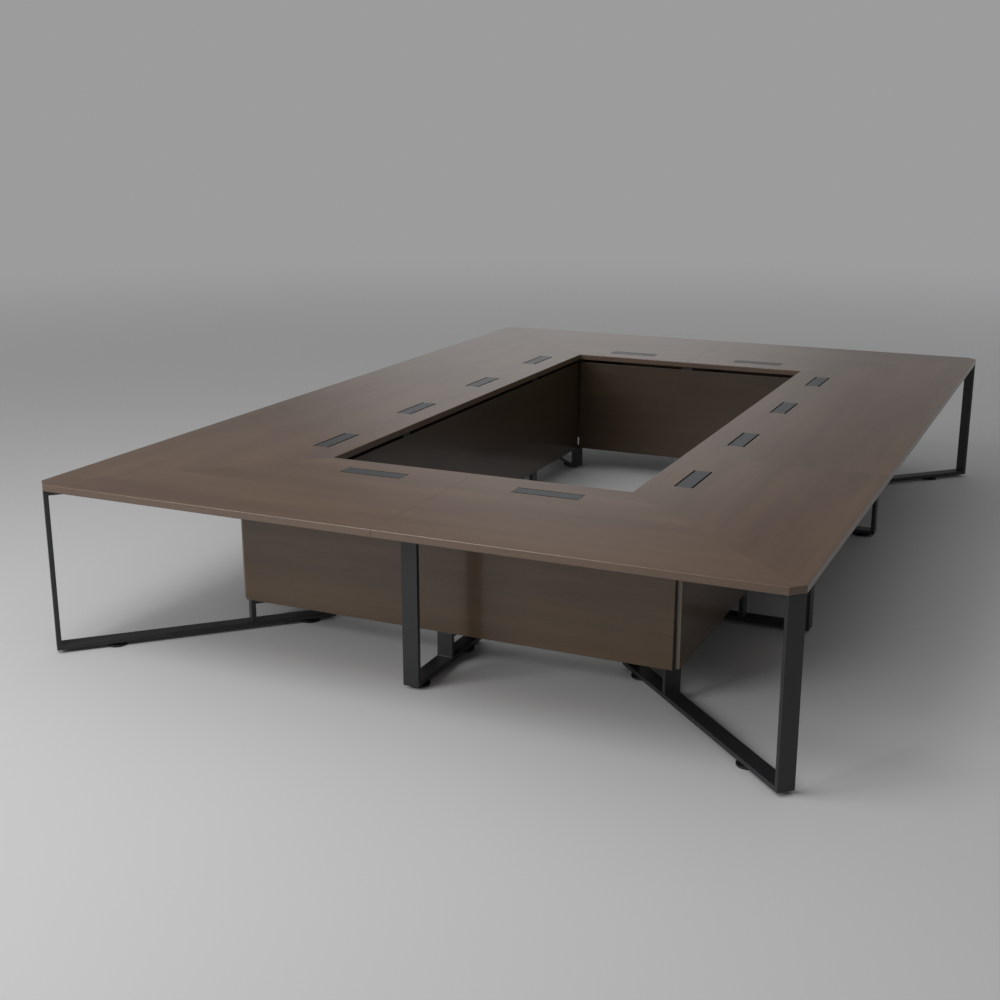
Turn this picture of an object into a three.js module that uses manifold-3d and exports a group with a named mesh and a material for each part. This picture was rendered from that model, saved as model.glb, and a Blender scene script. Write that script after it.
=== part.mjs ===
// A ring-shaped conference table: a segmented walnut worktop round a rectangular opening, a cable
// channel of upright panels below its inner half, flat tube frames, levelling feet and cable flaps.
// Millimetres, +Z up, X across the table, Y along it, origin on the floor at the table's centre.
import * as THREE from "three";
import { mergeVertices } from "three/addons/utils/BufferGeometryUtils.js";
import Module from "manifold-3d";

const wasm = await Module();
wasm.setup();

// Worktop ring: a corner segment is measured along its outer edge, from the seam to the square corner.
const TABLE_HEIGHT = 750;
const RING_WIDTH = 900;
const TOP_THICKNESS = 30;
const CORNER_SEGMENT_LENGTH = 1600;
const MIDDLE_SEGMENT_LENGTH = 1600;
const SEAM_GAP = 0.6;

// Flat tube frames: the loop is the low rectangle that carries the channel's panels.
const TUBE_WIDTH = 70;
const TUBE_DEPTH = 20;
const MIDDLE_FRAME_SETBACK = 290;
const LOOP_TOP_HEIGHT = 140;
const CORNER_END_SETBACK = 6;

// Cable channel: setback of the inner panels from the opening's edge, and width over both panels.
const PANEL_THICKNESS = 18;
const CHANNEL_SETBACK = 10;
const CHANNEL_WIDTH = 300;
const PANEL_CORNER_GAP = 5;

// Cable flaps: a lid lies in a cut-out with an open cable slot along both long edges.
const LID_LENGTH = 288;
const LID_WIDTH = 66;
const LID_THICKNESS = 6;
const LID_END_GAP = 1;
const CABLE_SLOT = 8;
const FLAP_INSET = 165;
const FLAP_FROM_SEAM = 400;
const REST_TAB_LENGTH = 12;
const REST_TAB_WIDTH = 20;

// Lid hinge: end pins on two lugs, measured from the lid's inner edge and down from its face.
const PIN_RADIUS = 2.5;
const PIN_LENGTH = 8;
const PIN_INSET = 8;
const PIN_DROP = 12;
const LUG_THICKNESS = 6;
const LUG_WIDTH = 12;
const LUG_BELOW_PIN = 5;

// Levelling feet, with the middle of each foot measured from the ends of its runner.
const FOOT_HEIGHT = 15;
const FOOT_RADIUS = 45;
const FOOT_DISC_THICKNESS = 9;
const FOOT_EDGE = 1.5;
const FOOT_BOSS_RADIUS = 14;
const STEM_RADIUS = 6;
const STEM_LENGTH = 16;
const CORNER_FOOT_INSET = 250;
const MIDDLE_FOOT_INSET = 70;
const INNER_FOOT_INSET = 115;

// Fits: seated faces, pins and stems in their sockets, and the room at a socket's end.
const REST_GAP = 0.3;
const SOCKET_CLEARANCE = 0.3;
const SOCKET_END_ROOM = 1;
const CUT_OVERRUN = 1;

// Facets round the feet and round the pins and stems.
const FOOT_FACETS = 20;
const PIN_FACETS = 12;

const CHAMFER = TUBE_WIDTH / Math.SQRT2;
const CORNER_INNER_EDGE = CORNER_SEGMENT_LENGTH - RING_WIDTH;
const TOP_UNDERSIDE = TABLE_HEIGHT - TOP_THICKNESS;
const RAIL_TOP = TOP_UNDERSIDE - REST_GAP;
const RAIL_UNDERSIDE = RAIL_TOP - TUBE_DEPTH;
const RUNNER_TOP = FOOT_HEIGHT + TUBE_DEPTH;
const CHANNEL_OUTER = CHANNEL_SETBACK + CHANNEL_WIDTH;
const CUTOUT_LENGTH = LID_LENGTH + 2 * LID_END_GAP;
const CUTOUT_WIDTH = LID_WIDTH + 2 * CABLE_SLOT;
const PIN_OFFSET = LID_WIDTH / 2 - PIN_INSET;

// Half lengths of the opening, and the worktop's cross seams, on the short and the long sides.
const SHORT_HALF = CORNER_INNER_EDGE;
const LONG_HALF = CORNER_INNER_EDGE + MIDDLE_SEGMENT_LENGTH / 2;
const SHORT_SEAMS = [0];
const LONG_SEAMS = [-MIDDLE_SEGMENT_LENGTH / 2, MIDDLE_SEGMENT_LENGTH / 2];

// Each side is laid out as the front one, along X with the opening's edge at Y = -reach, then turned
// about the table's centre. Ends name the segments, seam frames and the corner at its +X end.
const SIDES = [
  {
    name: "front",
    turn: 0,
    half: SHORT_HALF,
    reach: LONG_HALF,
    seams: SHORT_SEAMS,
    segments: ["left", "right"],
    frames: ["frame_front"],
    corner: "front_right",
  },
  {
    name: "right",
    turn: Math.PI / 2,
    half: LONG_HALF,
    reach: SHORT_HALF,
    seams: LONG_SEAMS,
    segments: ["front", "middle", "back"],
    frames: ["frame_right_front", "frame_right_back"],
    corner: "back_right",
  },
  {
    name: "back",
    turn: Math.PI,
    half: SHORT_HALF,
    reach: LONG_HALF,
    seams: SHORT_SEAMS,
    segments: ["right", "left"],
    frames: ["frame_back"],
    corner: "back_left",
  },
  {
    name: "left",
    turn: -Math.PI / 2,
    half: LONG_HALF,
    reach: SHORT_HALF,
    seams: LONG_SEAMS,
    segments: ["back", "middle", "front"],
    frames: ["frame_left_back", "frame_left_front"],
    corner: "front_left",
  },
];

const LOOKS = {
  worktop: { color: 0x5f4a3d, roughness: 0.38, metalness: 0 },
  panel: { color: 0x4a382e, roughness: 0.42, metalness: 0 },
  frame: { color: 0x222325, roughness: 0.45, metalness: 0.4 },
  lid: { color: 0x44474b, roughness: 0.35, metalness: 0.85 },
  foot: { color: 0x161617, roughness: 0.6, metalness: 0 },
};

// A closed geometry as a solid that can be joined and cut.
function solidOf(geometry) {
  const bare = geometry.clone();
  bare.deleteAttribute("normal");
  bare.deleteAttribute("uv");
  const merged = mergeVertices(bare);
  return new wasm.Manifold(
    new wasm.Mesh({
      numProp: 3,
      vertProperties: new Float32Array(merged.getAttribute("position").array),
      triVerts: new Uint32Array(merged.index.array),
    }),
  );
}

function geometryOf(solid) {
  const { vertProperties, triVerts } = solid.getMesh();
  const geometry = new THREE.BufferGeometry();
  geometry.setAttribute("position", new THREE.BufferAttribute(vertProperties, 3));
  geometry.setIndex(new THREE.BufferAttribute(triVerts, 1));
  geometry.computeVertexNormals();
  return geometry;
}

function box(xRange, yRange, zRange) {
  const size = [xRange, yRange, zRange].map(([low, high]) => high - low);
  const middle = [xRange, yRange, zRange].map(([low, high]) => (low + high) / 2);
  return new THREE.BoxGeometry(...size).translate(...middle);
}

// A round bar along X between two places, on the line through y and z.
function barAlongX(radius, [start, end], y, z) {
  return new THREE.CylinderGeometry(radius, radius, end - start, PIN_FACETS)
    .rotateZ(Math.PI / 2)
    .translate((start + end) / 2, y, z);
}

// A flat outline of [x, y] corners, raised along Z.
function prism(corners, height) {
  const shape = new THREE.Shape(corners.map(([x, y]) => new THREE.Vector2(x, y)));
  return new THREE.ExtrudeGeometry(shape, { depth: height, bevelEnabled: false });
}

function addPiece(parent, name, geometry, look) {
  const piece = new THREE.Mesh(geometry, new THREE.MeshStandardMaterial(LOOKS[look]));
  piece.name = name;
  parent.add(piece);
  return piece;
}

// One end of a worktop segment, from its outer to its inner edge: a seam square across the ring, or
// a mitre that runs from the middle of the chamfered corner to the opening's corner.
function segmentEnd(side, seam, sign) {
  const outer = -(side.reach + RING_WIDTH);
  const inner = -side.reach;
  const half = SEAM_GAP / 2;
  if (seam !== undefined) {
    const x = seam - sign * half;
    return [
      [x, outer],
      [x, inner],
    ];
  }
  const corner = side.half + RING_WIDTH;
  const slant = half / Math.SQRT2;
  return [
    [sign * (corner - CHAMFER), outer],
    [sign * (corner - CHAMFER / 2 - slant), outer + CHAMFER / 2 - slant],
    [sign * (side.half - 2 * slant), inner],
  ];
}

// What is cut from the worktop for one flap, at its own middle on the worktop's upper face: the
// through hole less two tabs that the lid's outer corners rest on, and the hinge pins' sockets.
function flapCutter() {
  const halfLength = CUTOUT_LENGTH / 2;
  const halfWidth = CUTOUT_WIDTH / 2;
  const bottom = -TOP_THICKNESS - CUT_OVERRUN;
  const tabTop = -LID_THICKNESS - REST_GAP;
  let cutter = solidOf(box([-halfLength, halfLength], [-halfWidth, halfWidth], [bottom, CUT_OVERRUN]));
  for (const sign of [-1, 1]) {
    const tabX = [sign * halfLength, sign * (halfLength - REST_TAB_LENGTH)].sort((a, b) => a - b);
    const tab = box(tabX, [-halfWidth, -halfWidth + REST_TAB_WIDTH], [bottom, tabTop]);
    cutter = cutter.subtract(solidOf(tab));
  }
  const socketReach = LID_LENGTH / 2 + PIN_LENGTH + SOCKET_END_ROOM;
  const sockets = barAlongX(PIN_RADIUS + SOCKET_CLEARANCE, [-socketReach, socketReach], PIN_OFFSET, -PIN_DROP);
  return cutter.add(solidOf(sockets));
}

// A lid at its own middle on the worktop's upper face, with its hinge lugs and end pins below it
// towards the opening.
function lidGeometry() {
  const half = LID_LENGTH / 2;
  let lid = solidOf(box([-half, half], [-LID_WIDTH / 2, LID_WIDTH / 2], [-LID_THICKNESS, 0]));
  for (const sign of [-1, 1]) {
    const lugX = [sign * half, sign * (half - LUG_THICKNESS)].sort((a, b) => a - b);
    const lugY = [PIN_OFFSET - LUG_WIDTH / 2, PIN_OFFSET + LUG_WIDTH / 2];
    const lugZ = [-PIN_DROP - LUG_BELOW_PIN, -LID_THICKNESS / 2];
    const pinX = [sign * (half - LUG_THICKNESS / 2), sign * (half + PIN_LENGTH)].sort((a, b) => a - b);
    lid = lid.add(solidOf(box(lugX, lugY, lugZ)));
    lid = lid.add(solidOf(barAlongX(PIN_RADIUS, pinX, PIN_OFFSET, -PIN_DROP)));
  }
  return geometryOf(lid);
}

// A levelling foot standing on the floor: a round disc, a boss under the runner, and a stem in it.
function footGeometry() {
  const bossTop = FOOT_HEIGHT - REST_GAP;
  const profile = [
    [0, 0],
    [FOOT_RADIUS - FOOT_EDGE, 0],
    [FOOT_RADIUS, FOOT_EDGE],
    [FOOT_RADIUS, FOOT_DISC_THICKNESS - FOOT_EDGE],
    [FOOT_RADIUS - FOOT_EDGE, FOOT_DISC_THICKNESS],
    [FOOT_BOSS_RADIUS, FOOT_DISC_THICKNESS],
    [FOOT_BOSS_RADIUS, bossTop],
    [STEM_RADIUS, bossTop],
    [STEM_RADIUS, FOOT_HEIGHT + STEM_LENGTH],
    [0, FOOT_HEIGHT + STEM_LENGTH],
  ];
  const points = profile.map(([radius, height]) => new THREE.Vector2(radius, height));
  return new THREE.LatheGeometry(points, FOOT_FACETS).rotateX(Math.PI / 2);
}

// A welded frame in its own plane: X runs inwards from the outer face of its leg, and the tube is
// TUBE_WIDTH wide across Y. The loop between its two short posts lies under the cable channel.
function frameGeometry(depth, loopStart, feet) {
  const tubes = {
    leg: [0, TUBE_DEPTH, FOOT_HEIGHT, RAIL_TOP],
    runner: [0, depth, FOOT_HEIGHT, RUNNER_TOP],
    topRail: [0, depth, RAIL_UNDERSIDE, RAIL_TOP],
    outerPost: [loopStart, loopStart + TUBE_DEPTH, FOOT_HEIGHT, LOOP_TOP_HEIGHT],
    innerPost: [depth - TUBE_DEPTH, depth, FOOT_HEIGHT, LOOP_TOP_HEIGHT],
    crossbar: [loopStart, depth, LOOP_TOP_HEIGHT - TUBE_DEPTH, LOOP_TOP_HEIGHT],
  };
  const across = [-TUBE_WIDTH / 2, TUBE_WIDTH / 2];
  let frame = Object.values(tubes)
    .map(([start, end, bottom, top]) => solidOf(box([start, end], across, [bottom, top])))
    .reduce((joined, tube) => joined.add(tube));
  const socketTop = FOOT_HEIGHT + STEM_LENGTH + SOCKET_END_ROOM;
  const socketBottom = FOOT_HEIGHT - CUT_OVERRUN;
  for (const x of feet) {
    const radius = STEM_RADIUS + SOCKET_CLEARANCE;
    const socket = new THREE.CylinderGeometry(radius, radius, socketTop - socketBottom, PIN_FACETS)
      .rotateX(Math.PI / 2)
      .translate(x, 0, (socketTop + socketBottom) / 2);
    frame = frame.subtract(solidOf(socket));
  }
  return geometryOf(frame);
}

// A frame and its two feet in a group that stands at (x, y) and runs inwards along the given angle.
function addFrame(parent, name, { x, y, angle, depth, loopStart, outerFoot }) {
  const group = new THREE.Group();
  group.position.set(x, y, 0);
  group.rotation.z = angle;
  parent.add(group);
  const feet = { outer: outerFoot, inner: depth - INNER_FOOT_INSET };
  addPiece(group, name, frameGeometry(depth, loopStart, Object.values(feet)), "frame");
  for (const [end, place] of Object.entries(feet)) {
    const foot = addPiece(group, `${name.replace("frame", "foot")}_${end}`, footGeometry(), "foot");
    foot.position.x = place;
  }
}

// The worktop segments of one side, with the cut-outs of the flaps that lie in each.
function addWorktop(group, side, flaps) {
  const ends = [undefined, ...side.seams, undefined];
  side.segments.forEach((label, index) => {
    const [start, stop] = [ends[index], ends[index + 1]];
    const outline = [...segmentEnd(side, start, -1), ...segmentEnd(side, stop, 1).reverse()];
    let segment = solidOf(prism(outline, TOP_THICKNESS).translate(0, 0, TOP_UNDERSIDE));
    for (const x of flaps) {
      if (x > (start ?? -Infinity) && x < (stop ?? Infinity)) {
        segment = segment.subtract(flapCutter().translate([x, -(side.reach + FLAP_INSET), TABLE_HEIGHT]));
      }
    }
    addPiece(group, `top_${side.name}_${label}`, geometryOf(segment), "worktop");
  });
}

// The two upright panels of one side's cable channel, between the frames' loops and top rails.
function addPanels(group, side) {
  const height = [LOOP_TOP_HEIGHT + REST_GAP, RAIL_UNDERSIDE - REST_GAP];
  const panels = {
    outer: { half: side.half + CHANNEL_OUTER - PANEL_THICKNESS - PANEL_CORNER_GAP, face: CHANNEL_OUTER },
    inner: { half: side.half + CHANNEL_SETBACK - PANEL_CORNER_GAP, face: CHANNEL_SETBACK + PANEL_THICKNESS },
  };
  for (const [label, { half, face }] of Object.entries(panels)) {
    const outward = -(side.reach + face);
    const board = box([-half, half], [outward, outward + PANEL_THICKNESS], height);
    addPiece(group, `panel_${label}_${side.name}`, board, "panel");
  }
}

function addLids(group, side, flaps) {
  flaps.forEach((x, index) => {
    const lid = addPiece(group, `lid_${side.name}_${index + 1}`, lidGeometry(), "lid");
    lid.position.set(x, -(side.reach + FLAP_INSET), TABLE_HEIGHT);
  });
}

// The frames under one side's seams, and the diagonal frame under the corner at its +X end, whose
// leg is flush with the chamfer and whose outer post is flush with both outer panels' faces.
function addFrames(group, side) {
  const outer = -(side.reach + RING_WIDTH);
  const middleDepth = RING_WIDTH - MIDDLE_FRAME_SETBACK - CHANNEL_SETBACK;
  side.frames.forEach((name, index) => {
    addFrame(group, name, {
      x: side.seams[index],
      y: outer + MIDDLE_FRAME_SETBACK,
      angle: Math.PI / 2,
      depth: middleDepth,
      loopStart: middleDepth - CHANNEL_WIDTH,
      outerFoot: MIDDLE_FOOT_INSET,
    });
  });
  const chamferMiddle = RING_WIDTH - CHAMFER / 2;
  const cornerDepth = (chamferMiddle - CHANNEL_SETBACK) * Math.SQRT2 - CORNER_END_SETBACK;
  const postFace = CHANNEL_OUTER - TUBE_WIDTH / 2 / Math.SQRT2;
  addFrame(group, `frame_corner_${side.corner}`, {
    x: side.half + chamferMiddle,
    y: -(side.reach + chamferMiddle),
    angle: (3 * Math.PI) / 4,
    depth: cornerDepth,
    loopStart: (chamferMiddle - postFace) * Math.SQRT2,
    outerFoot: CORNER_FOOT_INSET,
  });
}

const table = new THREE.Group();
table.name = "conference_table";
for (const side of SIDES) {
  const group = new THREE.Group();
  group.rotation.z = side.turn;
  table.add(group);
  const flaps = side.seams.flatMap((seam) => [seam - FLAP_FROM_SEAM, seam + FLAP_FROM_SEAM]);
  addWorktop(group, side, flaps);
  addPanels(group, side);
  addLids(group, side, flaps);
  addFrames(group, side);
}

export default table;
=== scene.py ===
from math import pi, radians, sqrt, tau
from typing import NamedTuple

import bpy
import numpy as np
from bpy.props import FloatProperty, FloatVectorProperty, PointerProperty
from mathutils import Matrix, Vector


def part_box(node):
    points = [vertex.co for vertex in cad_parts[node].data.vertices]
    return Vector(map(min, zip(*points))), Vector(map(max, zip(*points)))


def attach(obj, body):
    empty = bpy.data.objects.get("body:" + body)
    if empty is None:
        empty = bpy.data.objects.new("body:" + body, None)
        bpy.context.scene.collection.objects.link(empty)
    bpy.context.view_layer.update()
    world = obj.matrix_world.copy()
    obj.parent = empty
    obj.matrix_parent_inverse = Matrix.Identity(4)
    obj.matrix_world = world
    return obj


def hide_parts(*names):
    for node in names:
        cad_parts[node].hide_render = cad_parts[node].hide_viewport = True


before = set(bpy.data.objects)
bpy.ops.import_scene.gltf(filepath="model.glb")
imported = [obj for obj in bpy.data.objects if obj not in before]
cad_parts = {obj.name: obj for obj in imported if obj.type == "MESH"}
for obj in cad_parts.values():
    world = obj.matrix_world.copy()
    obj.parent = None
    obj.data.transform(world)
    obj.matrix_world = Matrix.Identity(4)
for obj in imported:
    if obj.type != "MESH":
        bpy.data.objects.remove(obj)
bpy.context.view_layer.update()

bl_info = {
    "name": "Ring conference table",
    "version": (1, 0, 0),
    "blender": (4, 5, 0),
    "location": "View3D > Sidebar > Table",
    "description": "Dresses a ring-shaped conference table with its finished boards, frames and flaps",
    "category": "Object",
}

MM = 0.001
FACETS = 24
SCREW_ROWS = 4
# Edges are drawn sharp past the first angle and rounded past the second, with so many steps in a rounding
SHARP_ANGLE = radians(40)
ROUNDED_ANGLE = radians(50)
ROUNDING_STEPS = 3
# How far the figure of the veneer is moved from one board to the next, along and across it
FIGURE_STEP = 7.3, 3.7
# Heights on the studio's walls are sines of the angle above the horizon, and the glow's rim is a cosine
WALL_FOOT, GLOW_FOOT, WALL_HEAD, CEILING_EDGE = 0.075, 0.11, 0.355, 0.9
GLOW_RIM = 0.972
TUBE_HALF_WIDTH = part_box("frame_front")[1][0]
# Half lengths along X and Y: of the opening, and of the channel inside and outside its outer panels
OPENING = np.array([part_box("top_right_middle")[0][0], -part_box("top_front_left")[1][1]])
CHANNEL = np.array([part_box("panel_outer_right")[0][0], -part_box("panel_outer_front")[1][1]])
CHANNEL_FACE = np.array([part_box("panel_outer_right")[1][0], -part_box("panel_outer_front")[0][1]])


class Side(NamedTuple):
    """A side of the table, laid out as the front one and turned by quarter turns about the middle.

    Its worktop segments and seam frames are in order along it, and the corner is at its far end.
    """

    quarter: int
    segments: tuple
    frames: tuple
    corner: str

    @property
    def turn(self):
        """The side's angle from the front."""
        return self.quarter * pi / 2

    def along_and_across(self, lengths):
        """Half lengths along X and Y as lengths along this side and out to it."""
        return lengths[[self.quarter % 2, 1 - self.quarter % 2]]


SIDES = {
    "front": Side(0, ("left", "right"), ("front",), "front_right"),
    "right": Side(1, ("front", "middle", "back"), ("right_front", "right_back"), "back_right"),
    "back": Side(2, ("right", "left"), ("back",), "back_left"),
    "left": Side(3, ("back", "middle", "front"), ("left_back", "left_front"), "front_left"),
}


def linear(code):
    """A colour written as an sRGB hex number, in the linear light that shaders use."""
    shares = np.array([code >> 16 & 255, code >> 8 & 255, code & 255]) / 255
    return tuple(np.where(shares <= 0.04045, shares / 12.92, ((shares + 0.055) / 1.055) ** 2.4))


def length(name, description, millimetres):
    """A length that a user may change, written in millimetres."""
    return FloatProperty(
        name=name, description=description, default=millimetres * MM, min=0, unit="LENGTH", precision=5
    )


def share(name, description, value):
    """A share from 0 to 1 that a user may change."""
    return FloatProperty(name=name, description=description, default=value, min=0, max=1, subtype="FACTOR")


def watts(name, description, value):
    """A lamp's power that a user may change."""
    return FloatProperty(name=name, description=description, default=value, min=0, unit="POWER")


def colour(name, description, code):
    """A colour that a user may change, written as an sRGB hex number."""
    return FloatVectorProperty(
        name=name, description=description, default=linear(code), min=0, max=1, size=3, subtype="COLOR"
    )


class TableSizes(bpy.types.PropertyGroup):
    """Lengths of the finished surfaces; the main sizes come from the frame."""

    edge_round: length("Edge round", "Rounding of the worktop's long edges", 3)
    seam_round: length("Seam round", "Rounding of the worktop's edges at its seams", 0.3)
    arris_round: length("Arris round", "Rounding of the cut-outs and of the worktop's lower edges", 0.6)
    seam_gap: length("Seam gap", "Gap between two worktop segments", 0.1)
    panel_round: length("Panel round", "Rounding of the panels' edges", 1)
    # The angle strip is a dark piece that stands in for the shade behind the corner slits
    strip_leg: length("Strip leg", "Leg of the angle strip in the channel's outer corners", 20)
    strip_thickness: length("Strip thickness", "Thickness of the angle strip", 1.5)
    strip_gap: length("Strip gap", "Gap between the angle strip and the panels", 0.2)
    tube_depth: length("Tube depth", "Narrow side of the frames' flat tube", 20)
    tube_round: length("Tube round", "Rounding of the flat tube's corners", 2)
    weld_radius: length("Weld radius", "Radius of the weld bead at a post's foot", 2)
    cap_thickness: length("Cap thickness", "Thickness of the plug in a top rail's open end", 2)
    loop_height: length("Loop height", "Height of the low loop's upper face", 140)
    lid_thickness: length("Lid thickness", "Thickness of a flap's lid", 6)
    lid_round: length("Lid round", "Rounding of a lid's edges", 0.7)
    pin_length: length("Pin length", "How far a hinge pin stands out of a lid's end", 8)
    pin_radius: length("Pin radius", "Radius of a hinge pin", 2.5)
    pin_inset: length("Pin inset", "Hinge axis, from the lid's edge that faces the opening", 8)
    pin_drop: length("Pin drop", "Hinge axis, down from the lid's face", 12)
    lug_width: length("Lug width", "Width of a hinge lug", 12)
    lug_thickness: length("Lug thickness", "Thickness of a hinge lug", 6)
    slot_width: length("Slot width", "Open cable slot along both long edges of a lid", 8)
    end_gap: length("End gap", "Gap between a lid's end and its cut-out", 1)
    liner_wall: length("Liner wall", "Wall of the metal liner in a cut-out", 0.6)
    tab_length: length("Tab length", "Rest tab under a lid's outer corner, along the lid", 12)
    tab_width: length("Tab width", "Rest tab under a lid's outer corner, across the lid", 20)
    tab_thickness: length("Tab thickness", "Thickness of a rest tab", 2)
    rest_gap: length("Rest gap", "Gap between two pieces that rest on each other", 0.3)
    screw_radius: length("Screw radius", "Radius of a rail screw's head", 6)
    screw_height: length("Screw height", "Height of a rail screw's head", 3)
    foot_disc: length("Foot disc", "Thickness of a levelling foot's disc", 9)
    foot_boss: length("Foot boss", "Radius of the boss on a levelling foot", 14)
    foot_stem: length("Foot stem", "Radius of a levelling foot's threaded stem", 6)
    thread_pitch: length("Thread pitch", "Pitch of the stem's thread", 1.75)


class TableFinishes(bpy.types.PropertyGroup):
    """Colours of the finishes."""

    walnut_light: colour("Walnut, light", "Light wood between the grain", 0x725A46)
    walnut_dark: colour("Walnut, dark", "Dark wood of the grain", 0x5C4738)
    walnut_pore: colour("Walnut, pore", "Open pores of the veneer", 0x24170F)
    backing: colour("Backing", "Balancing sheet on the worktop's underside", 0x2E231B)
    # Painted shade: a dark colour blended over the worktop's edges, for the shade they lie in
    shade_band: colour("Edge band", "Stain on the worktop's edges", 0x2E2118)
    outer_light: colour("Outer panel, light", "Light wood of the outer panels", 0x5A452D)
    outer_dark: colour("Outer panel, dark", "Dark wood of the outer panels", 0x43311E)
    # Painted shade: the inner panels are given darker wood than the outer ones, for the shade inside the
    # ring
    shaded_inner_light: colour("Inner panel, light", "Light wood of the inner panels", 0x402F1B)
    shaded_inner_dark: colour("Inner panel, dark", "Dark wood of the inner panels", 0x2C1F11)
    edging: colour("Edging", "Edging on the panels' ends", 0x7A6A5C)
    powder: colour("Powder coat", "Coat of the steel frames", 0x232426)
    anodised: colour("Anodised metal", "Flap lids", 0x6C6F74)
    liner: colour("Liner", "Flap liners", 0x121314)
    plastic: colour("Plastic", "Feet and tube plugs", 0x101011)
    floor: colour("Floor", "Studio floor", 0xCFCFCF)
    # How strongly the painted shade darkens the worktop's edges
    shade_band_strength: share("Edge band, strength", "Share of the stain on the worktop's edges", 0.35)
    worktop_coat: share("Worktop lacquer", "Share of gloss lacquer on the worktop", 0.7)
    panel_coat: share("Panel lacquer", "Share of gloss lacquer on the panels", 0.5)


class StudioSettings(bpy.types.PropertyGroup):
    """Camera and light."""

    camera_place: FloatVectorProperty(
        name="Camera place", description="Place of the lens", default=(2.466069, -6.645035, 2.225168),
        subtype="TRANSLATION",
    )
    camera_turn: FloatVectorProperty(
        name="Camera turn", description="Tilt, roll and heading of the camera",
        default=(radians(74.421), 0, radians(24.584)), subtype="EULER",
    )
    lens: FloatProperty(name="Lens", description="Focal length", default=50, unit="CAMERA")
    key_place: FloatVectorProperty(
        name="Key place", description="Place of the large softbox", default=(-4.0, -8.0, 4.0),
        subtype="TRANSLATION",
    )
    key_size: length("Key size", "Width of the large softbox", 4000)
    key_power: watts("Key power", "Power of the large softbox", 333)
    top_place: FloatVectorProperty(
        name="Top place", description="Place of the small overhead softbox", default=(-1.5, -3.9, 5.2),
        subtype="TRANSLATION",
    )
    top_size: length("Top size", "Width of the small overhead softbox", 2400)
    top_power: watts("Top power", "Power of the overhead softbox", 92)
    floor_radius: length("Floor radius", "Radius of the round floor", 400000)
    floor_middle: length("Floor middle", "Radius of the floor's middle, a flat face inside its rings", 20)
    fade_start: length("Fade start", "Distance at which the floor starts to fade into the backdrop", 3000)
    fade_end: length("Fade end", "Distance at which the floor has faded into the backdrop", 16000)
    backdrop: colour("Backdrop", "Backdrop behind the table", 0x9C9C9C)
    glow: colour("Glow", "Soft glow on the studio's wall", 0xCECECE)
    wall: colour("Wall", "Studio wall above", 0x303030)
    ceiling: colour("Ceiling", "Studio light from above", 0xBEBEBE)
    glow_side: FloatVectorProperty(
        name="Glow side", description="Direction of the soft glow", default=(-0.373, 0.922, 0.105),
        subtype="DIRECTION",
    )


# Surfaces: points are an array of rows of x, y, z, and faces are a list of arrays of point numbers.


def join(*surfaces):
    """One surface of several: each one's point numbers are moved past the points before it."""
    starts = np.cumsum([0] + [len(points) for points, _ in surfaces])
    moved = [part + start for (_, faces), start in zip(surfaces, starts) for part in faces]
    return np.concatenate([points for points, _ in surfaces]), moved


def ring_quads(rings, count, closed=False):
    """Quads between neighbouring rings of count points each; closed joins the last ring to the first."""
    ring = np.arange(rings if closed else rings - 1)[:, None]
    point = np.arange(count)[None, :]
    nearer, after = ring * count, (ring + 1) % rings * count
    turned = (point + 1) % count
    return np.stack([nearer + point, nearer + turned, after + turned, after + point], -1).reshape(-1, 4)


def sweep(section, path, closed=False):
    """A section carried along a flat path with mitred bends.

    At each bend the section's first measure runs along n = (n1 + n2) / (1 + n1 . n2), the mitre of
    the two legs' normals, and its second measure straight out of the path's plane. A closed path
    joins its ends, and an open one has a flat face at both ends.
    """
    steps = np.roll(path, -1, 0) - path
    along = steps / np.linalg.norm(steps, axis=1, keepdims=True)
    after = np.stack([-along[:, 1], along[:, 0]], 1)
    before = np.roll(after, 1, 0)
    if not closed:
        after[-1] = before[-1]
        before[0] = after[0]
    mitre = (before + after) / (1 + np.sum(before * after, 1, keepdims=True))
    flat = path[:, None, :] + mitre[:, None, :] * section[None, :, :1]
    out = np.broadcast_to(section[None, :, 1:], flat.shape[:2] + (1,))
    points = np.concatenate([flat, out], -1).reshape(-1, 3)
    count = len(section)
    faces = [ring_quads(len(path), count, closed)]
    if not closed:
        faces += [np.arange(count)[None, ::-1], np.arange(count)[None] + (len(path) - 1) * count]
    return points, faces


def lathe(profile, facets):
    """A profile of radius and height turned about Z: x = r cos a, y = r sin a; flat ends are closed."""
    angle = np.linspace(0, tau, facets, endpoint=False)
    radius, height = profile[:, :1], np.broadcast_to(profile[:, 1:], (len(profile), facets))
    points = np.stack([radius * np.cos(angle), radius * np.sin(angle), height], -1).reshape(-1, 3)
    last = (len(profile) - 1) * facets
    ends = [np.arange(facets)[None, ::-1], np.arange(facets)[None] + last]
    return points, [ring_quads(len(profile), facets)] + ends


def prism(outline, low, high):
    """A counterclockwise outline of x and y drawn out from z = low to z = high."""
    count = len(outline)
    points = np.concatenate([np.insert(outline, 2, level, axis=1) for level in (low, high)])
    return points, [ring_quads(2, count), np.arange(count)[None, ::-1], np.arange(count)[None] + count]


def arc(middle, radius, start, stop, count=6):
    """Points round a middle from one angle to another: middle + radius (cos a, sin a)."""
    angle = np.linspace(start, stop, count)
    return np.array(middle) + radius * np.stack([np.cos(angle), np.sin(angle)], 1)


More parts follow.
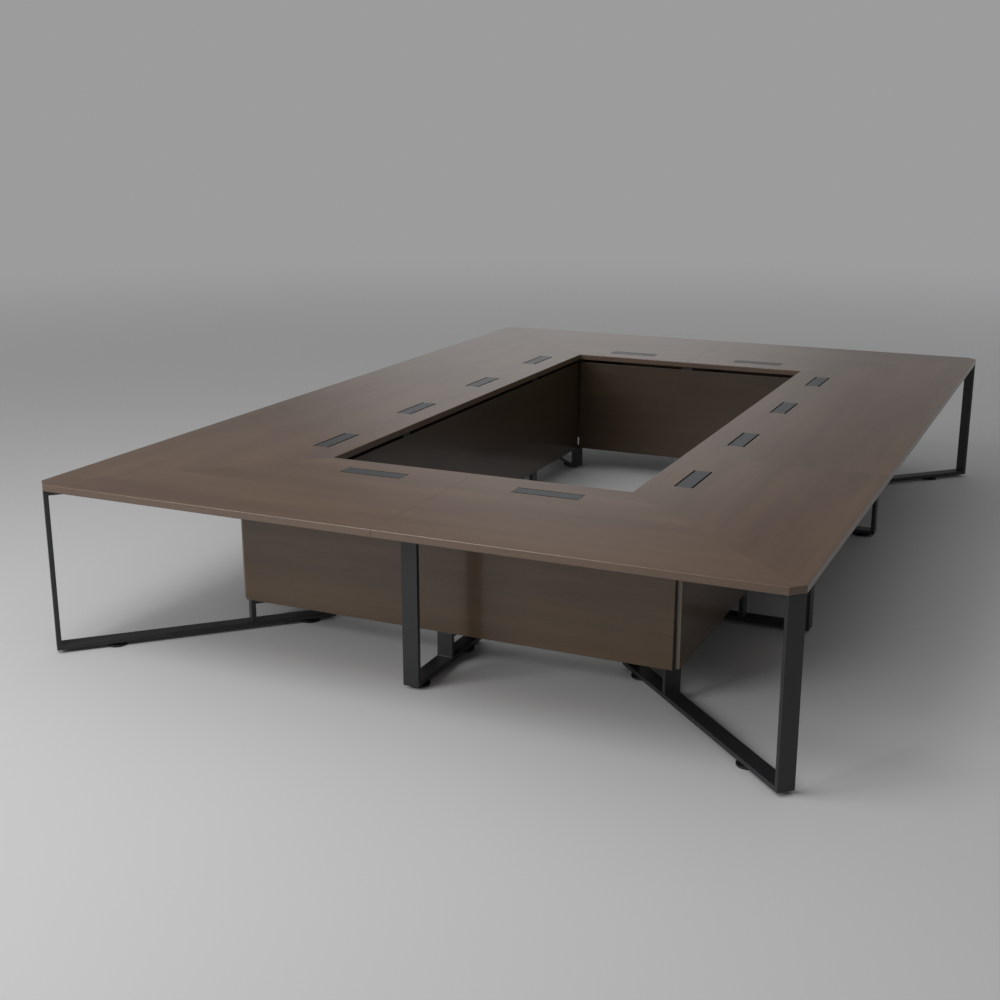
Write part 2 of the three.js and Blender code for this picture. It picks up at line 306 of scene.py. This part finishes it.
def slab(x, y, top, bottom, kept=None):
    """A flat board on a grid of x and y, with square edges; kept says which of its cells have wood.

    The upper layer is the grid at top and the lower one the same grid at bottom; a wall stands on
    each line between a kept cell and one that isn't.
    """
    rows, columns = x.shape
    kept = np.ones((rows - 1, columns - 1), bool) if kept is None else kept
    number = np.arange(rows * columns).reshape(rows, columns)
    points = np.concatenate(
        [np.stack([x, y, np.full(x.shape, level)], -1).reshape(-1, 3) for level in (top, bottom)]
    )
    cells = np.stack([number[:-1, :-1], number[:-1, 1:], number[1:, 1:], number[1:, :-1]], -1)[kept]
    padded = np.pad(kept, 1).astype(int)
    walls = []
    for start, stop, change in (
        (number[:, :-1], number[:, 1:], np.diff(padded, axis=0)[:, 1:-1]),
        (number[:-1], number[1:], -np.diff(padded, axis=1)[1:-1]),
    ):
        for sign, first, second in ((1, start, stop), (-1, stop, start)):
            edge = np.stack([first[change == sign], second[change == sign]], -1)
            lower = edge + number.size
            walls.append(np.stack([edge[:, 1], edge[:, 0], lower[:, 0], lower[:, 1]], -1))
    return points, [cells, cells[:, ::-1] + number.size] + walls


def block(low, high):
    """A board of one cell between two corners."""
    x, y = np.meshgrid([low[0], high[0]], [low[1], high[1]])
    return slab(x, y, high[2], low[2])


def placed(surface, origin=(0, 0, 0), angle=0.0):
    """A surface turned about Z by an angle and moved to an origin."""
    points, faces = surface
    turn = np.array([[np.cos(angle), np.sin(angle), 0], [-np.sin(angle), np.cos(angle), 0], [0, 0, 1]])
    return points @ turn + np.array(origin), faces


def axes(surface, order, flip=False):
    """A surface with its axes taken in another order; flip turns its faces back outwards."""
    points, faces = surface
    return points[:, order], [face[:, ::-1] for face in faces] if flip else faces


def turned_box(node, angle):
    """A node's lowest and highest corner with the table turned back by an angle about its middle."""
    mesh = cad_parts[node].data
    points = np.empty(len(mesh.vertices) * 3, np.float32)
    mesh.vertices.foreach_get("co", points)
    turned, _ = placed((points.reshape(-1, 3).astype(float), []), angle=-angle)
    return turned.min(0), turned.max(0)


def make_object(name, surface, finish):
    """Puts a surface into an object of the scene."""
    points, faces = surface
    mesh = bpy.data.meshes.new(name)
    mesh.from_pydata(points.tolist(), [], [face for part in faces for face in part.tolist()])
    mesh.materials.append(finish)
    made = bpy.data.objects.new(name, mesh)
    bpy.context.scene.collection.objects.link(made)
    return made


def make_piece(name, surface, finish, body="table", node=None, bevel=None):
    """Makes a smooth piece that rides on a body and takes the place of its CAD node."""
    piece = make_object(name, surface, finish)
    piece.data.shade_smooth()
    piece.data.set_sharp_from_angle(angle=SHARP_ANGLE)
    if bevel:
        round_edges(piece, bevel)
    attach(piece, body)
    if node:
        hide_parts(node)
    return piece


def round_edges(piece, width):
    """Rounds the sharp edges, or where the mesh has edge weights those alone, each by its share."""
    rounding = piece.modifiers.new("rounded edges", "BEVEL")
    weighted = "bevel_weight_edge" in piece.data.attributes
    rounding.limit_method = "WEIGHT" if weighted else "ANGLE"
    rounding.angle_limit = ROUNDED_ANGLE
    rounding.width = width
    rounding.segments = ROUNDING_STEPS
    rounding.harden_normals = True


# Node trees


class Wire:
    """An output socket of a node tree, with arithmetic that adds Math nodes."""

    def __init__(self, tree, socket):
        self.tree = tree
        self.socket = socket

    def node(self, kind, settings=None, inputs=None, output=0):
        """Adds a node: its settings are set first, then its sockets by name or identifier."""
        made = self.tree.nodes.new(kind)
        for key, value in (settings or {}).items():
            setattr(made, key, value)
        for key, value in (inputs or {}).items():
            socket = next(s for s in made.inputs if s.enabled and key in (s.identifier, s.name))
            if isinstance(value, Wire):
                self.tree.links.new(value.socket, socket)
            else:
                socket.default_value = value
        found = next((s for s in made.outputs if output in (s.identifier, s.name)), None)
        return Wire(self.tree, found or made.outputs[0])

    def math(self, operation, *values):
        """Adds a Math node on values that are wires or numbers."""
        sockets = zip(("Value", "Value_001"), values)
        return self.node("ShaderNodeMath", {"operation": operation}, dict(sockets))

    def split(self):
        """Wires from a vector's three parts."""
        made = self.node("ShaderNodeSeparateXYZ", {}, {"Vector": self})
        return (Wire(self.tree, part) for part in made.socket.node.outputs)

    def turned(self, angle):
        """A vector turned about Z."""
        return self.node("ShaderNodeMapping", {}, {"Vector": self, "Rotation": (0, 0, angle)})

    def __add__(self, other):
        return self.math("ADD", self, other)

    def __radd__(self, other):
        return self.math("ADD", other, self)

    def __sub__(self, other):
        return self.math("SUBTRACT", self, other)

    def __rsub__(self, other):
        return self.math("SUBTRACT", other, self)

    def __mul__(self, other):
        return self.math("MULTIPLY", self, other)

    def __rmul__(self, other):
        return self.math("MULTIPLY", other, self)

    def __truediv__(self, other):
        return self.math("DIVIDE", self, other)

    def __rtruediv__(self, other):
        return self.math("DIVIDE", other, self)

    def __abs__(self):
        return self.math("ABSOLUTE", self)

    def floor(self):
        """The whole number below a value."""
        return self.math("FLOOR", self)

    def between(self, low, high):
        """0 below low, 1 above high and a smooth rise between them."""
        return self.node(
            "ShaderNodeMapRange", {"interpolation_type": "SMOOTHSTEP"},
            {"Value": self, "From Min": low, "From Max": high},
        )

    def scaled(self, factors):
        """A vector times a number along each axis."""
        return self.node(
            "ShaderNodeVectorMath", {"operation": "MULTIPLY"}, {"Vector": self, "Vector_001": factors}
        )

    def noise(self, factors, detail=2.0, roughness=0.5, distortion=0.0):
        """Soft noise from 0 to 1 with so many waves to the metre along each axis."""
        return self.node(
            "ShaderNodeTexNoise", {},
            {"Vector": self.scaled(factors), "Scale": 1.0, "Detail": detail, "Roughness": roughness,
             "Distortion": distortion},
        )

    def blend(self, first, second):
        """A colour between two, by this share."""
        return self.node(
            "ShaderNodeMix", {"data_type": "RGBA"},
            {"Factor_Float": self, "A_Color": first, "B_Color": second}, "Result_Color",
        )

    def bump(self, strength, distance):
        """A surface normal tilted by this height."""
        return self.node(
            "ShaderNodeBump", {}, {"Height": self, "Strength": strength, "Distance": distance}
        )


def opaque(shade, factor=1.0):
    """A colour property, times a factor, as the four numbers of a colour socket."""
    return (*(factor * part for part in shade), 1.0)


def new_finish(name, **constants):
    """A material, its shader with constant sockets set, and a wire from its Object coordinates."""
    finish = bpy.data.materials.new(name)
    finish.use_nodes = True
    tree = finish.node_tree
    shader = tree.nodes["Principled BSDF"]
    for key, value in constants.items():
        shader.inputs[key.replace("_", " ")].default_value = value
    coordinates = tree.nodes.new("ShaderNodeTexCoord")
    return finish, shader, Wire(tree, coordinates.outputs["Object"])


def plug(shader, **wires):
    """Links wires to a shader's sockets."""
    for key, wire in wires.items():
        wire.tree.links.new(wire.socket, shader.inputs[key.replace("_", " ")])


def walnut(name, tones, turn, coat, board=None, backing=None, shade_band=None, edging=None):
    """Lacquered walnut veneer with its grain along a side.

    Broad figure, mottle, fibres and pores are noise that is drawn out along the grain; board gives
    the length and offset of boards whose figure differs, backing a colour below a height, the shade
    band the colour of a painted shade on the edges, its strength and the height below which it is,
    and edging a colour past a distance from the middle, on a board's ends.
    """
    light, dark, pore = (opaque(tone) for tone in tones)
    finish, shader, place = new_finish(
        name, Coat_Weight=coat, Coat_Roughness=0.12, Coat_IOR=1.5, IOR=1.45
    )
    grain = place.turned(-turn)
    along, across, up = grain.split()
    if board:
        size, shift = board
        number = ((along + shift) / size).floor()
        x, y = (part + number * step for part, step in zip((along, across), FIGURE_STEP))
        grain = grain.node("ShaderNodeCombineXYZ", {}, {"X": x, "Y": y, "Z": up})
    figure = grain.noise((0.5, 9, 9), detail=3.0, roughness=0.55, distortion=0.4)
    mottle = grain.noise((1.6, 3.2, 3.2))
    fibre = grain.noise((7, 240, 240), detail=3.0, roughness=0.6)
    pores = grain.noise((40, 1300, 1300), detail=1.0).between(0.6, 0.72)
    fleck = grain.noise((5, 46, 46), detail=1.0).between(0.6, 0.78)
    tone = (figure * 0.9 + mottle * 0.5 + fibre * 0.45 - 0.45).between(0.12, 0.92)
    wood = (fleck * 0.35).blend(tone.blend(dark, light), light)
    wood = (pores * 0.45).blend(wood, pore)
    # Painted shade: below a height near the top of the edge rounding, the wood is darkened towards a dark
    # colour
    if shade_band:
        shade, strength, height = shade_band
        wood = (strength * (1 - up.between(height - MM, height))).blend(wood, opaque(shade))
    if backing:
        shade, height = backing
        wood = up.between(height, height + MM).blend(opaque(shade), wood)
    if edging:
        shade, end = edging
        wood = abs(along).between(end - MM, end).blend(wood, opaque(shade))
    plug(
        shader,
        Base_Color=wood,
        Roughness=fibre * 0.16 + 0.4,
        Normal=(fibre * 0.6 - pores).bump(0.12, 0.0002),
    )
    return finish


def powder_coat(name, shade):
    """Satin powder coat: a fine orange peel, with a faint cloudiness in its gloss."""
    finish, shader, place = new_finish(name, IOR=1.5)
    cloud = place.noise((6, 6, 6))
    peel = place.noise((700, 700, 700))
    plug(
        shader,
        Base_Color=cloud.between(0.25, 0.75).blend(opaque(shade, 0.82), opaque(shade)),
        Roughness=cloud * 0.12 + peel * 0.06 + 0.33,
        Normal=peel.bump(0.18, 0.0002),
    )
    return finish


def brushed_metal(name, shade, slot_shade, face, turn):
    """Anodised aluminium brushed along a lid, with fine streaks in tone and gloss.

    Below the height of its face, over its rounded edge and sides, the lid has a dark colour and no metal:
    painted shade that widens the dark slots beside it.
    """
    finish, shader, place = new_finish(name, IOR=1.5)
    *_, up = place.split()
    # Painted shade: the lid's rounded edge and sides are drawn dark, for the shade of the slots
    bare = up.between(face - 0.25 * MM, face - 0.05 * MM)
    along = place.turned(-turn)
    streak = along.noise((14, 900, 900), roughness=0.6)
    cloud = along.noise((9, 22, 22))
    metal = (streak * 0.5 + cloud * 0.5).between(0.25, 0.75).blend(opaque(shade, 0.88), opaque(shade))
    plug(
        shader,
        Base_Color=bare.blend(opaque(slot_shade), metal),
        Metallic=bare * 0.9,
        Roughness=streak * 0.12 + 0.24,
        Normal=streak.bump(0.04, 0.0001),
    )
    return finish


def moulded_plastic(name, shade):
    """Black moulded plastic with a fine stipple and a little dust in its tone."""
    finish, shader, place = new_finish(name, IOR=1.45)
    stipple = place.noise((1100, 1100, 1100))
    dust = place.noise((35, 35, 35), detail=3.0)
    plug(
        shader,
        Base_Color=dust.between(0.3, 0.8).blend(opaque(shade), opaque(shade, 1.6)),
        Roughness=dust * 0.15 + 0.45,
        Normal=stipple.bump(0.25, 0.0002),
    )
    return finish


def floor_paint(name, shade, studio):
    """Matt studio paint with a faint unevenness, which is seen and mirrored fading into the backdrop."""
    finish, shader, place = new_finish(name, IOR=1.4)
    uneven = place.noise((0.8, 0.8, 0.8), detail=3.0)
    plug(
        shader,
        Base_Color=uneven.blend(opaque(shade, 0.97), opaque(shade)),
        Roughness=uneven * 0.1 + 0.5,
    )
    tree = finish.node_tree
    distance = place.node("ShaderNodeVectorMath", {"operation": "LENGTH"}, {"Vector": place}, "Value")
    rays = place.node("ShaderNodeLightPath").socket.node.outputs
    camera, glossy, through = (
        Wire(tree, rays[f"Is {kind} Ray"]) for kind in ("Camera", "Glossy", "Transmission")
    )
    backdrop = place.node("ShaderNodeEmission", {}, {"Color": opaque(studio.backdrop)})
    faded = place.node(
        "ShaderNodeMixShader", {},
        {
            "Fac": distance.between(studio.fade_start, studio.fade_end) * (camera + glossy + through),
            "Shader": Wire(tree, shader.outputs["BSDF"]),
            "Shader_001": backdrop,
        },
    )
    tree.links.new(faded.socket, tree.nodes["Material Output"].inputs["Surface"])
    return finish


def lid_places(side):
    """The box of each lid along a side, with the side turned to the front."""
    names = sorted(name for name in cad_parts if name.startswith(f"lid_{side}_"))
    return {name: turned_box(name, SIDES[side].turn) for name in names}


class TABLE_OT_worktops(bpy.types.Operator):
    """Build the worktop segments with rounded edges and a cut-out for each flap"""

    bl_idname = "conference_table.worktops"
    bl_label = "Worktops"

    def execute(self, context):
        sizes, finishes = context.scene.table_sizes, context.scene.table_finishes
        tones = finishes.walnut_light, finishes.walnut_dark, finishes.walnut_pore
        for name, side in SIDES.items():
            low, high = turned_box(f"top_{name}_{side.segments[1]}", side.turn)
            seams = len(side.segments) - 1
            middle = high[0] - low[0]
            finish = walnut(
                f"walnut_{name}", tones, side.turn, finishes.worktop_coat,
                board=(middle, middle / 2) if seams > 1 else None,
                backing=(finishes.backing, low[2] + MM),
                # painted shade on the edges, below the middle of their rounding
                shade_band=(finishes.shade_band, finishes.shade_band_strength, high[2] - sizes.edge_round / 2),
            )
            for index, label in enumerate(side.segments):
                ends = index == 0, index == seams
                self.segment(sizes, name, f"top_{name}_{label}", ends, finish)
        return {"FINISHED"}

    def segment(self, sizes, name, node, mitred, finish):
        """One segment: columns follow its ends and its cut-outs' ends, and rows the edges between them.

        A mitred end is the lower of two lines: the chamfer x = corner - chamfer + (y - outer) and the
        mitre x = half - y - reach, less the seam's share.
        """
        side = SIDES[name]
        half, reach = side.along_and_across(OPENING)
        low, high = turned_box(node, side.turn)
        outer, inner = low[1], high[1]
        ring = inner - outer
        chamfer, slant = 2 * TUBE_HALF_WIDTH / sqrt(2), sizes.seam_gap / 2 / sqrt(2)
        lids = [box for box in lid_places(name).values() if low[0] < box[0][0] < high[0]]
        cut_low, cut_high = lids[0][0][1] - sizes.slot_width, lids[0][1][1] + sizes.slot_width
        rows = np.array([outer, outer + chamfer / 2 - slant, cut_low, cut_high, inner])
        mitre = np.minimum(half + ring - chamfer + rows - outer, half - rows - reach - 2 * slant)
        end_reach = sizes.pin_length - sizes.end_gap
        cuts = [x for box in lids for x in (box[0][0] + end_reach, box[1][0] - end_reach)]
        columns = [-mitre if mitred[0] else np.full_like(rows, low[0])]
        columns += [np.full_like(rows, x) for x in cuts]
        columns += [mitre if mitred[1] else np.full_like(rows, high[0])]
        x = np.stack(columns, 1)
        y = np.broadcast_to(rows[:, None], x.shape)
        kept = np.ones((len(rows) - 1, len(columns) - 1), bool)
        kept[np.searchsorted(rows, cut_low), 1::2] = False
        surface = placed(slab(x, y, high[2], low[2], kept), angle=side.turn)
        piece = make_piece(node.replace("top", "worktop"), surface, finish, node=node)
        self.weigh_edges(sizes, piece.data, x.shape, mitred)
        round_edges(piece, sizes.edge_round)

    def weigh_edges(self, sizes, mesh, shape, mitred):
        """Shares of the rounding: long edges in full, seams and the other edges less, flat lines none."""
        rows, columns = shape
        pairs = np.empty(len(mesh.edges) * 2, int)
        mesh.edges.foreach_get("vertices", pairs)
        upper, number = np.divmod(pairs.reshape(-1, 2), rows * columns)
        row, column = np.divmod(number, columns)
        sharp = np.zeros(len(mesh.edges), bool)
        mesh.attributes["sharp_edge"].data.foreach_get("value", sharp)
        on_top = (upper == 0).all(1)
        same_row, same_column = row[:, 0] == row[:, 1], column[:, 0] == column[:, 1]
        long_edge = same_row & np.isin(row[:, 0], (0, rows - 1))
        mitred_columns = np.array([0, columns - 1])[list(mitred)]
        chamfer = same_column & (row.sum(1) == 1) & np.isin(column[:, 0], mitred_columns)
        seam = same_column & np.isin(column[:, 0], (0, columns - 1)) & ~chamfer
        weight = np.full(len(mesh.edges), sizes.arris_round / sizes.edge_round)
        weight[on_top & seam] = sizes.seam_round / sizes.edge_round
        weight[on_top & (long_edge | chamfer)] = 1.0
        weight[~sharp] = 0.0
        shares = mesh.attributes.new("bevel_weight_edge", "FLOAT", "EDGE")
        shares.data.foreach_set("value", weight.astype(np.float32))


class TABLE_OT_panels(bpy.types.Operator):
    """Build the eight upright boards of the cable channel and the dark strips behind its corner slits,
    which stand in for the shade seen through them
    """

    bl_idname = "conference_table.panels"
    bl_label = "Channel panels"

    def execute(self, context):
        sizes, finishes = context.scene.table_sizes, context.scene.table_finishes
        tones = {
            "outer": (finishes.outer_light, finishes.outer_dark, finishes.walnut_pore),
            # the inner panels take the darker tones of painted shade
            "inner": (finishes.shaded_inner_light, finishes.shaded_inner_dark, finishes.walnut_pore),
        }
        for name, side in SIDES.items():
            for face in ("outer", "inner"):
                node = f"panel_{face}_{name}"
                end = turned_box(node, side.turn)[1][0]
                finish = walnut(
                    f"veneer_{face}_{name}", tones[face], side.turn, finishes.panel_coat,
                    edging=(finishes.edging, end),
                )
                make_piece(
                    f"board_{face}_{name}", block(*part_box(node)), finish,
                    node=node, bevel=sizes.panel_round,
                )
        # Painted shade: a dark angle behind each corner slit keeps the slit dark where shade is seen
        # through it
        coat = powder_coat("slit_shade_coat", finishes.powder)
        for name, side in SIDES.items():
            make_piece(f"slit_shade_strip_{side.corner}", self.strip(sizes, name), coat)
        return {"FINISHED"}

    def strip(self, sizes, name):
        """An upright dark angle behind the slit at the outer corner at a side's far end, standing in for
        the shade seen through the slit.
        """
        side, leg, thick = SIDES[name], sizes.strip_leg, sizes.strip_thickness
        along, reach = side.along_and_across(CHANNEL) - sizes.strip_gap
        low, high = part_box(f"panel_outer_{name}")
        outline = [along, -reach] + np.array(
            [[-leg, 0], [0, 0], [0, leg], [-thick, leg], [-thick, thick], [-leg, thick]]
        )
        return placed(prism(outline, low[2], high[2]), angle=side.turn)


class TABLE_OT_frames(bpy.types.Operator):
    """Build the welded tube frames, their rail plugs and the screws that hold the worktop"""

    bl_idname = "conference_table.frames"
    bl_label = "Frames"

    def execute(self, context):
        sizes, finishes = context.scene.table_sizes, context.scene.table_finishes
        coat = powder_coat("powder_coat", finishes.powder)
        plastic = moulded_plastic("plug_plastic", finishes.plastic)
        corner_face = CHANNEL_FACE.sum() / sqrt(2) - TUBE_HALF_WIDTH
        for side in SIDES.values():
            _, face = side.along_and_across(CHANNEL_FACE)
            for label in side.frames:
                self.frame(sizes, label, side.turn + pi / 2, -face, coat, plastic)
            self.frame(sizes, f"corner_{side.corner}", side.turn + 3 * pi / 4, -corner_face, coat, plastic)
        return {"FINISHED"}

    def frame(self, sizes, label, angle, loop, coat, plastic):
        """A frame with its fittings, built with its leg on -X and turned by an angle.

        The flat tube is carried from the top rail's end round the leg, the runner and the low loop,
        whose outer face is at x = loop, and a weld bead runs round the foot of the loop's last post.
        """
        low, high = turned_box(f"frame_{label}", angle)
        depth = sizes.tube_depth
        half, rail_end = depth / 2, high[0] - sizes.cap_thickness
        path = np.array(
            [
                [rail_end, high[2] - half],
                [low[0] + half, high[2] - half],
                [low[0] + half, low[2] + half],
                [high[0] - half, low[2] + half],
                [high[0] - half, sizes.loop_height - half],
                [loop + half, sizes.loop_height - half],
                [loop + half, low[2] + depth],
            ]
        )
        section = np.array([[-half, low[1]], [half, low[1]], [half, high[1]], [-half, high[1]]])
        tube = axes(sweep(section, path), [0, 2, 1], flip=True)
        foot = np.array([[loop, low[1]], [loop + depth, low[1]], [loop + depth, high[1]], [loop, high[1]]])
        bead = sweep(arc((0, low[2] + depth), sizes.weld_radius, 0, tau, count=9)[:-1], foot, closed=True)
        make_piece(
            f"tube_frame_{label}", placed(join(tube, bead), angle=angle), coat,
            node=f"frame_{label}", bevel=sizes.tube_round,
        )
        rail = high[2] - depth
        cap = placed(block((rail_end, low[1], rail), high), angle=angle)
        make_piece(f"rail_plug_{label}", cap, plastic, bevel=sizes.cap_thickness / 3)
        head = self.screw_head(sizes)
        spread, inset = np.linspace(low[0], high[0], SCREW_ROWS + 2)[1:-1], (high[1] - low[1]) / 4
        heads = [placed(head, (x, y, rail)) for x in spread for y in (low[1] + inset, high[1] - inset)]
        make_piece(f"rail_screws_{label}", placed(join(*heads), angle=angle), coat)

    def screw_head(self, sizes):
        """A pan head that hangs from z = 0, turned from its coned recess out to its rounded rim."""
        radius, height = sizes.screw_radius, sizes.screw_height
        recess, edge = radius / 3, height / 2
        profile = np.concatenate(
            [
                [[recess / 2, -height / 2], [recess, -height]],
                arc((radius - edge, edge - height), edge, -pi / 2, 0, count=4),
                [[radius, 0]],
            ]
        )
        return lathe(profile, FACETS)


class TABLE_OT_flaps(bpy.types.Operator):
    """Build the flap lids with their hinge pins, and the liners of the cut-outs"""

    bl_idname = "conference_table.flaps"
    bl_label = "Cable flaps"

    def execute(self, context):
        sizes, finishes = context.scene.table_sizes, context.scene.table_finishes
        liner_finish = powder_coat("liner_coat", finishes.liner)
        bottom, face = (corner[2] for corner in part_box("top_front_left"))
        for name, side in SIDES.items():
            # the liners' black is also the painted shade on the lids' edges
            metal = brushed_metal(
                f"brushed_lid_{name}", finishes.anodised, finishes.liner, face, side.turn
            )
            for node, (low, high) in lid_places(name).items():
                middle = (*((low + high) / 2)[:2], face)
                half = (high - low)[:2] / 2 - [sizes.pin_length, 0]
                lid = placed(placed(self.lid(sizes, half), middle), angle=side.turn)
                liner = placed(placed(self.liner(sizes, half, face - bottom), middle), angle=side.turn)
                make_piece(
                    f"flap_{node}", lid, metal, body=node, node=node, bevel=sizes.lid_round
                )
                make_piece(node.replace("lid", "flap_liner"), liner, liner_finish)
        return {"FINISHED"}

    def lid(self, sizes, half):
        """A plate with a round-footed lug at both ends and a pin out of each lug."""
        plate = block((-half[0], -half[1], -sizes.lid_thickness), (half[0], half[1], 0))
        reach, root = sizes.lug_width / 2, sizes.pin_drop - sizes.lid_thickness / 2
        outline = np.concatenate([arc((0, 0), reach, -pi, 0, count=13), [[reach, root], [-reach, root]]])
        lug = prism(outline, -sizes.lug_thickness, 0)
        radius, tip = sizes.pin_radius, sizes.pin_radius / 5
        pin = lathe(
            np.array(
                [
                    [radius, -sizes.lug_thickness / 2],
                    [radius, sizes.pin_length - tip],
                    [radius - tip, sizes.pin_length],
                ]
            ),
            FACETS,
        )
        hinge = axes(join(lug, pin), [2, 0, 1])
        across, down = half[1] - sizes.pin_inset, -sizes.pin_drop
        ends = [placed(hinge, (x, across, down), angle) for x, angle in ((half[0], 0), (-half[0], pi))]
        return join(plate, *ends)

    def liner(self, sizes, half, deep):
        """A thin wall carried round the cut-out, and the two tabs that the lid's outer corners rest on."""
        x, y = half[0] + sizes.end_gap, half[1] + sizes.slot_width
        path = np.array([[-x, -y], [x, -y], [x, y], [-x, y]])
        sink = sizes.arris_round
        section = np.array(
            [[0, -deep + sink], [sizes.liner_wall, -deep + sink], [sizes.liner_wall, -sink], [0, -sink]]
        )
        wall = sweep(section, path, closed=True)
        tab_top = -sizes.lid_thickness - sizes.rest_gap
        tabs = [
            block(
                (start, -y, tab_top - sizes.tab_thickness),
                (start + sizes.tab_length, -y + sizes.tab_width, tab_top),
            )
            for start in (-x, x - sizes.tab_length)
        ]
        return join(wall, *tabs)


class TABLE_OT_feet(bpy.types.Operator):
    """Build the round levelling feet with their threaded stems"""

    bl_idname = "conference_table.feet"
    bl_label = "Levelling feet"

    def execute(self, context):
        sizes, finishes = context.scene.table_sizes, context.scene.table_finishes
        plastic = moulded_plastic("foot_plastic", finishes.plastic)
        for node in sorted(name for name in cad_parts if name.startswith("foot_")):
            low, high = (np.array(corner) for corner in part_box(node))
            middle = (*((low + high) / 2)[:2], 0)
            surface = placed(self.foot(sizes, (high - low)[0] / 2, high[2]), middle)
            make_piece(f"levelling_{node}", surface, plastic, body=node, node=node)
        return {"FINISHED"}

    def foot(self, sizes, radius, height):
        """A turned disc with rounded edges, a coned boss and a stem whose thread is a row of grooves."""
        disc, boss, stem = sizes.foot_disc, sizes.foot_boss, sizes.foot_stem
        edge = disc / 4
        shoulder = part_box("frame_front")[0][2] - sizes.rest_gap
        pitch = sizes.thread_pitch
        turns = np.arange(shoulder + pitch, height - pitch, pitch / 2)
        crest = np.where(np.arange(len(turns)) % 2, stem, stem - pitch / 2)
        profile = np.concatenate(
            [
                arc((radius - edge, edge), edge, -pi / 2, 0),
                arc((radius - edge, disc - edge), edge, 0, pi / 2),
                [[boss + edge, disc], [boss, disc + edge / 2], [boss, shoulder - edge / 2]],
                [[boss - edge / 2, shoulder], [stem, shoulder]],
                np.stack([crest, turns], 1),
                [[stem - pitch / 2, height]],
            ]
        )
        return lathe(profile, 2 * FACETS)


class TABLE_OT_stage(bpy.types.Operator):
    """Build the floor, the soft light and the camera"""

    bl_idname = "conference_table.stage"
    bl_label = "Stage"

    def execute(self, context):
        studio, finishes = context.scene.table_studio, context.scene.table_finishes
        paint = floor_paint("floor_paint", finishes.floor, studio)
        rim, middle = studio.floor_radius, studio.floor_middle
        points, (rings, _, middle_face) = lathe(np.array([[rim, 0], [middle, 0]]), 4 * FACETS)
        make_object("studio_floor", (points, [rings, middle_face]), paint)
        self.light(context, studio)
        self.camera(context, studio)
        return {"FINISHED"}

    def light(self, context, studio):
        """A large softbox at the near left, a small one overhead, and studio walls with a soft glow."""
        for name, place, size, power in (
            ("key_softbox", studio.key_place, studio.key_size, studio.key_power),
            ("top_softbox", studio.top_place, studio.top_size, studio.top_power),
        ):
            lamp = bpy.data.lights.new(name, "AREA")
            lamp.size, lamp.energy = size, power
            softbox = bpy.data.objects.new(name, lamp)
            softbox.location = place
            softbox.rotation_euler = (-softbox.location).to_track_quat("-Z", "Y").to_euler()
            softbox.visible_camera = False
            context.scene.collection.objects.link(softbox)
        world = bpy.data.worlds.new("studio")
        world.use_nodes = True
        context.scene.world = world
        tree = world.node_tree
        place = Wire(tree, tree.nodes.new("ShaderNodeTexCoord").outputs["Generated"])
        *_, up = place.split()
        facing = place.node(
            "ShaderNodeVectorMath", {"operation": "DOT_PRODUCT"},
            {"Vector": place, "Vector_001": studio.glow_side}, "Value",
        )
        wall = up.between(WALL_FOOT, WALL_HEAD).blend(opaque(studio.backdrop), opaque(studio.wall))
        glow = facing.between(GLOW_RIM, 1.0) * up.between(WALL_FOOT, GLOW_FOOT)
        lit_wall = glow.blend(wall, opaque(studio.glow))
        room = up.between(WALL_HEAD, CEILING_EDGE).blend(lit_wall, opaque(studio.ceiling))
        tree.links.new(room.socket, tree.nodes["Background"].inputs["Color"])
        context.scene.view_settings.view_transform = "Standard"

    def camera(self, context, studio):
        """A camera at the viewing angle of the picture."""
        lens = bpy.data.cameras.new("camera")
        lens.lens = studio.lens
        camera = bpy.data.objects.new("camera", lens)
        camera.location = studio.camera_place
        camera.rotation_euler = studio.camera_turn
        context.scene.collection.objects.link(camera)
        context.scene.camera = camera


class TABLE_PT_panel(bpy.types.Panel):
    """Lists the table's operators and settings"""

    bl_label = "Conference table"
    bl_idname = "TABLE_PT_panel"
    bl_space_type = "VIEW_3D"
    bl_region_type = "UI"
    bl_category = "Table"

    def draw(self, context):
        for operator in OPERATORS:
            self.layout.operator(operator.bl_idname)
        for settings in (getattr(context.scene, group) for group in GROUPS):
            for name in settings.__annotations__:
                self.layout.prop(settings, name)


OPERATORS = (
    TABLE_OT_stage, TABLE_OT_worktops, TABLE_OT_panels, TABLE_OT_frames, TABLE_OT_flaps, TABLE_OT_feet,
)
GROUPS = {"table_sizes": TableSizes, "table_finishes": TableFinishes, "table_studio": StudioSettings}


def register():
    for item in (*GROUPS.values(), *OPERATORS, TABLE_PT_panel):
        bpy.utils.register_class(item)
    for name, group in GROUPS.items():
        setattr(bpy.types.Scene, name, PointerProperty(type=group))


def unregister():
    for name in GROUPS:
        delattr(bpy.types.Scene, name)
    for item in reversed((*GROUPS.values(), *OPERATORS, TABLE_PT_panel)):
        bpy.utils.unregister_class(item)


def main():
    register()
    steps = bpy.ops.conference_table
    for build in (steps.stage, steps.worktops, steps.panels, steps.frames, steps.flaps, steps.feet):
        build()


if __name__ == "__main__":
    main()
